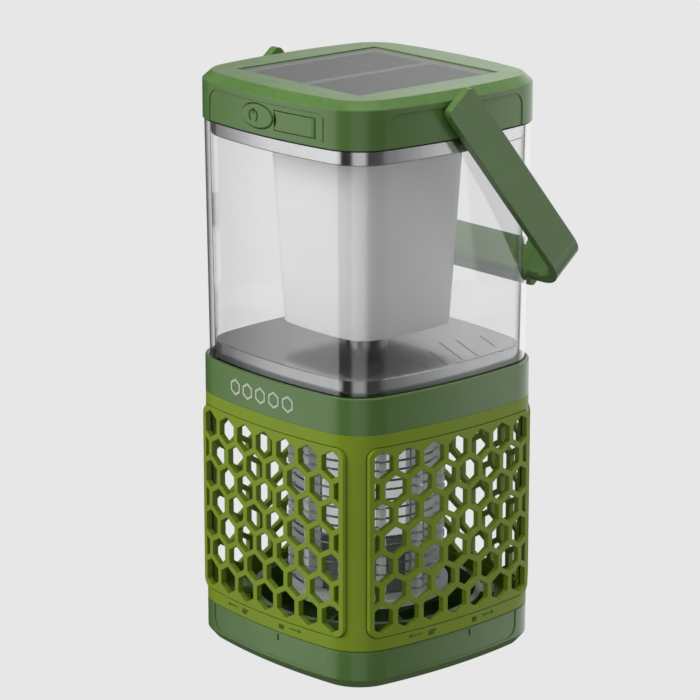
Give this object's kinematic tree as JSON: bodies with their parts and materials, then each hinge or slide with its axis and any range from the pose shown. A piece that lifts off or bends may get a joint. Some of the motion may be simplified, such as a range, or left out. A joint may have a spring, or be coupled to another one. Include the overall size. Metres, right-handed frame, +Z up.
{
  "type": "electric bug zapper",
  "caption": "Square solar camping lantern with a clear lamp room above a honeycomb insect zapper, a twist-off tray base and a swinging carry handle.",
  "frame": {"origin": "centre of the base's flat underside", "axes": "+Z up, the power button's face looks along -Y, the handle turns about X and hangs towards +Y"},
  "size_m": [0.114, 0.1193, 0.2286],
  "materials": {
    "green": "satin",
    "lime": "satin",
    "window": "clear polished",
    "silver": "vacuum metallised",
    "diffuser_white": "frosted",
    "cage_plastic": "translucent",
    "case_grey": "matt",
    "column_grey": "satin",
    "inner_grey": "matt",
    "wire_steel": "drawn",
    "screw_steel": "zinc plated",
    "socket_steel": "bright",
    "seal_rubber": "matt",
    "board": "solder mask",
    "heat_aluminium": "milled",
    "chip_yellow": "gel",
    "part_black": "matt",
    "battery_silver": "foil",
    "solar_board": "matt",
    "solar_cell": "fine silver lines",
    "solar_resin": "gloss"
  },
  "bodies": {
    "housing": {"middle_ring": "green", "top_cap": "green", "grille_frame": "lime", "grille_panel_front": "lime", "grille_panel_right": "lime", "grille_panel_back": "lime", "grille_panel_left": "lime", "clear_window": "window", "top_reflector": "silver", "reflector_plate": "silver", "diffuser": "diffuser_white", "uv_lamp_cover": "diffuser_white", "cage_body": "cage_plastic", "cage_top_disc": "cage_plastic", "hv_case": "case_grey", "wire_column": "column_grey", "cap_floor": "inner_grey", "grid_live": "wire_steel", "grid_return": "wire_steel", "cage_screws": "screw_steel", "ring_screws": "screw_steel", "cap_screws": "screw_steel", "usb_socket": "socket_steel", "lower_seal": "seal_rubber", "upper_seal": "seal_rubber", "uv_lamp_board": "board", "hv_board": "board", "lamp_board": "board", "control_board": "board", "lamp_heat_plate": "heat_aluminium", "lamp_chips": "chip_yellow", "board_parts": "part_black", "tact_switch": "part_black", "battery_pack": "battery_silver", "solar_backing": "solar_board", "solar_cells": "solar_cell", "solar_cover": "solar_resin"},
    "base": {"base_tray": "green"},
    "power_button": {"power_button": "green"},
    "port_cover": {"port_cover": "green"},
    "handle": {"carry_handle": "green", "pivot_washers": "screw_steel", "pivot_screws": "screw_steel"}
  },
  "joints": [
    {"name": "handle_swing", "type": "hinge", "parent": "housing", "child": "handle", "pos_m": [0, 0, 0.2194], "axis": [1, 0, 0], "range_deg": [0, 279]},
    {"name": "power_button_press", "type": "slide", "parent": "housing", "child": "power_button", "axis": [0, 1, 0], "range_m": [0, 0.001], "stiffness_N_per_m": 300, "springref_m": -0.001},
    {"name": "port_cover_flip", "type": "hinge", "parent": "housing", "child": "port_cover", "pos_m": [0.0269, -0.0497, 0.2161], "axis": [0, 0, 1], "range_deg": [0, 110]},
    {"name": "base_twist", "type": "hinge", "parent": "housing", "child": "base", "pos_m": [0, 0, 0], "axis": [0, 0, 1], "range_deg": [-15, 0]}
  ]
}
